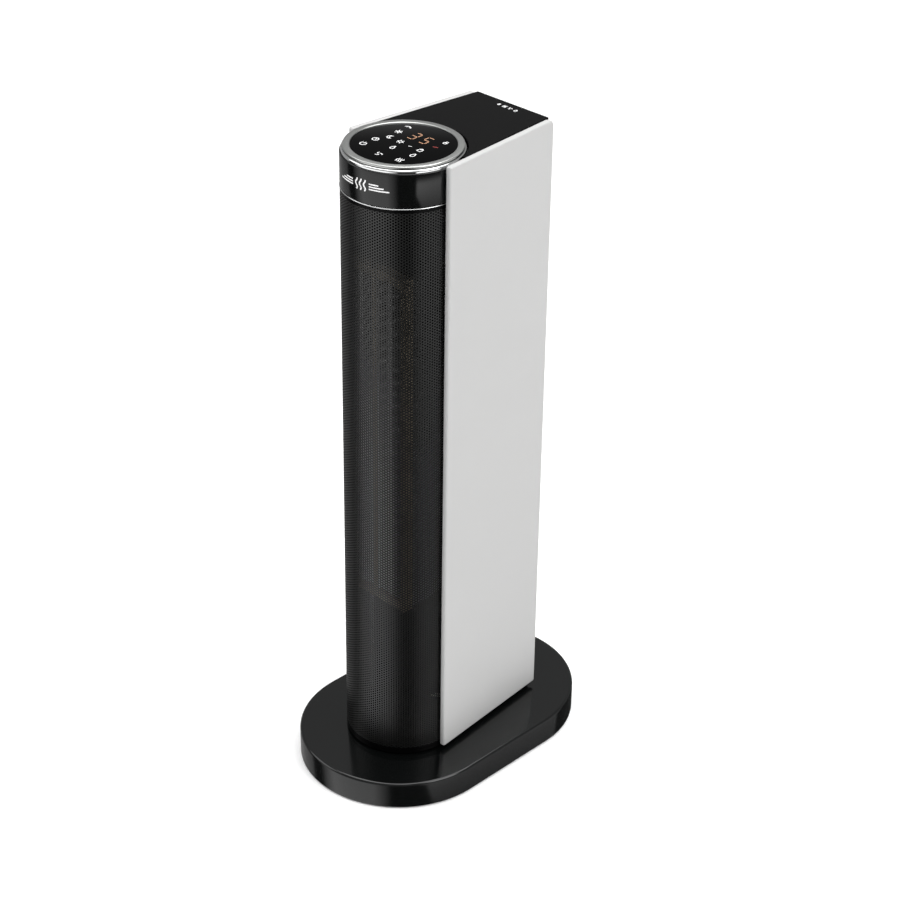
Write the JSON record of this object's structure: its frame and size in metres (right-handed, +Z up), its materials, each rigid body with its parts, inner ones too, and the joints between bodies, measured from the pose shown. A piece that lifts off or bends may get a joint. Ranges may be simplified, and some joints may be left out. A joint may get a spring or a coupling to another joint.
{
  "type": "ceramic tower heater",
  "caption": "Tower fan heater with white side panels, a black perforated front, a round touch control head and a stadium-shaped base it swings on.",
  "frame": {"origin": "under the middle of the base, on the plane the feet stand on", "axes": "+Z up; the hot-air outlet faces -Y; +X is the side to the right of someone who looks along +Y"},
  "size_m": [0.184, 0.285, 0.602],
  "materials": {
    "black_gloss": "high-gloss moulded ABS",
    "black_satin": "satin moulded ABS",
    "black_matte": "fine spark-eroded texture",
    "white_panel": "satin white moulded plastic",
    "chrome": "polished plating with a brushed top face",
    "black_glass": "back-printed black glass",
    "rubber": "matt rubber",
    "steel": "zinc-plated steel",
    "black_steel": "blackened steel",
    "galvanised": "galvanised sheet",
    "aluminium": "bare aluminium",
    "brass": "sintered bronze",
    "mica": "heat-proof moulded frame",
    "white_nylon": "natural nylon",
    "board": "green solder mask",
    "filter_net": "fine woven nylon net"
  },
  "bodies": {
    "base": {"base_shell": "black_gloss", "bottom_cover": "black_matte", "ballast_plate": "steel", "cord_gland": "rubber", "glide_ring": "white_nylon", "oscillation_motor": "steel", "tip_switch_housing": "black_matte", "tip_spring": "steel", "foot_1": "rubber", "foot_2": "rubber", "foot_3": "rubber", "foot_4": "rubber", "cover_screw_1": "steel", "cover_screw_2": "steel", "cover_screw_3": "steel", "cover_screw_4": "steel"},
    "tower": {"swivel_hub": "white_nylon", "drive_sector": "white_nylon", "tower_plinth": "black_matte", "chassis_wall_left": "black_matte", "chassis_wall_right": "black_matte", "side_panel_left": "white_panel", "side_panel_right": "white_panel", "top_plate": "black_satin", "rear_cover": "black_matte", "control_head": "black_gloss", "bezel_ring": "chrome", "touch_glass": "black_glass", "control_board": "board", "display_module": "black_matte", "trim_ring": "chrome", "front_grille": "black_satin", "foot_ring": "black_satin", "heater_frame": "mica", "ceramic_element_1": "aluminium", "ceramic_element_2": "aluminium", "thermal_cutoff": "brass", "duct_floor": "black_matte", "duct_ceiling": "black_matte", "duct_scroll": "galvanised", "duct_tongue": "galvanised", "fan_motor": "steel", "upper_bearing": "brass", "rocker_housing": "black_matte", "power_board": "board", "rear_screw_1": "black_steel", "rear_screw_2": "black_steel", "rear_screw_3": "black_steel", "rear_screw_4": "black_steel", "hub_screw_1": "steel", "hub_screw_2": "steel", "hub_screw_3": "steel"},
    "pinion": {"oscillation_pinion": "white_nylon"},
    "impeller": {"impeller": "aluminium", "impeller_shaft": "steel"},
    "rocker": {"power_rocker": "black_satin"},
    "filter": {"filter_frame": "black_matte", "filter_screen": "filter_net"},
    "tip_plunger": {"tip_plunger": "white_nylon"}
  },
  "joints": [
    {"name": "tower_oscillation", "type": "hinge", "parent": "base", "child": "tower", "pos_m": [0, 0, 0.029], "axis": [0, 0, 1], "range_deg": [-35, 35]},
    {"name": "pinion_spin", "type": "hinge", "parent": "base", "child": "pinion", "pos_m": [0, 0.048, 0.0217], "axis": [0, 0, 1], "range_deg": [-106, 106]},
    {"name": "impeller_spin", "type": "hinge", "parent": "tower", "child": "impeller", "pos_m": [0, 0.018, 0.34], "axis": [0, 0, 1], "continuous": true},
    {"name": "rocker_tilt", "type": "hinge", "parent": "tower", "child": "rocker", "pos_m": [0, 0.0785, 0.0648], "axis": [1, 0, 0], "range_deg": [0, 16]},
    {"name": "filter_pull", "type": "slide", "parent": "tower", "child": "filter", "axis": [0, 1, 0], "range_m": [0, 0.03]},
    {"name": "tip_plunger_travel", "type": "slide", "parent": "base", "child": "tip_plunger", "axis": [0, 0, -1], "range_m": [0, 0.004], "stiffness_N_per_m": 60, "springref_m": 0.006, "deforming": ["tip_spring"]}
  ],
  "couplings": [
    {"joint": "pinion_spin", "follows": "tower_oscillation", "ratio": -3}
  ]
}
